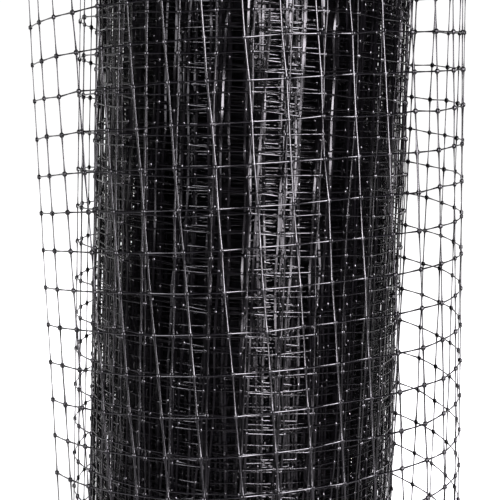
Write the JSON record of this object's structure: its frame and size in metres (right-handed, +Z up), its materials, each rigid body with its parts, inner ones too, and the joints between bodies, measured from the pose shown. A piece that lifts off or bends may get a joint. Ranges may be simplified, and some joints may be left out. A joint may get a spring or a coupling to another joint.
{
  "type": "roll of mole netting",
  "caption": "Wound roll of black open-mesh plastic netting standing on its end, its outer turn sprung loose round it.",
  "frame": {"origin": "on the surface that the roll stands on, on the axis of the wound roll", "axes": "+Z up along the roll, -Y towards the front that the picture shows, +X to the right"},
  "size_m": [0.2029, 0.1737, 0.4408],
  "materials": {
    "wound_netting": "black extruded plastic netting, wound tight, satin with pale highlights",
    "loose_netting": "black extruded plastic netting, satin with pale highlights along its strands"
  },
  "bodies": {
    "root": {"wound_roll": "wound_netting", "loose_turn_01": "loose_netting", "loose_turn_02": "loose_netting", "loose_turn_03": "loose_netting", "loose_turn_04": "loose_netting", "loose_turn_05": "loose_netting", "loose_turn_06": "loose_netting", "loose_turn_07": "loose_netting", "loose_turn_08": "loose_netting", "loose_turn_09": "loose_netting", "loose_turn_10": "loose_netting", "loose_turn_11": "loose_netting"}
  },
  "joints": []
}
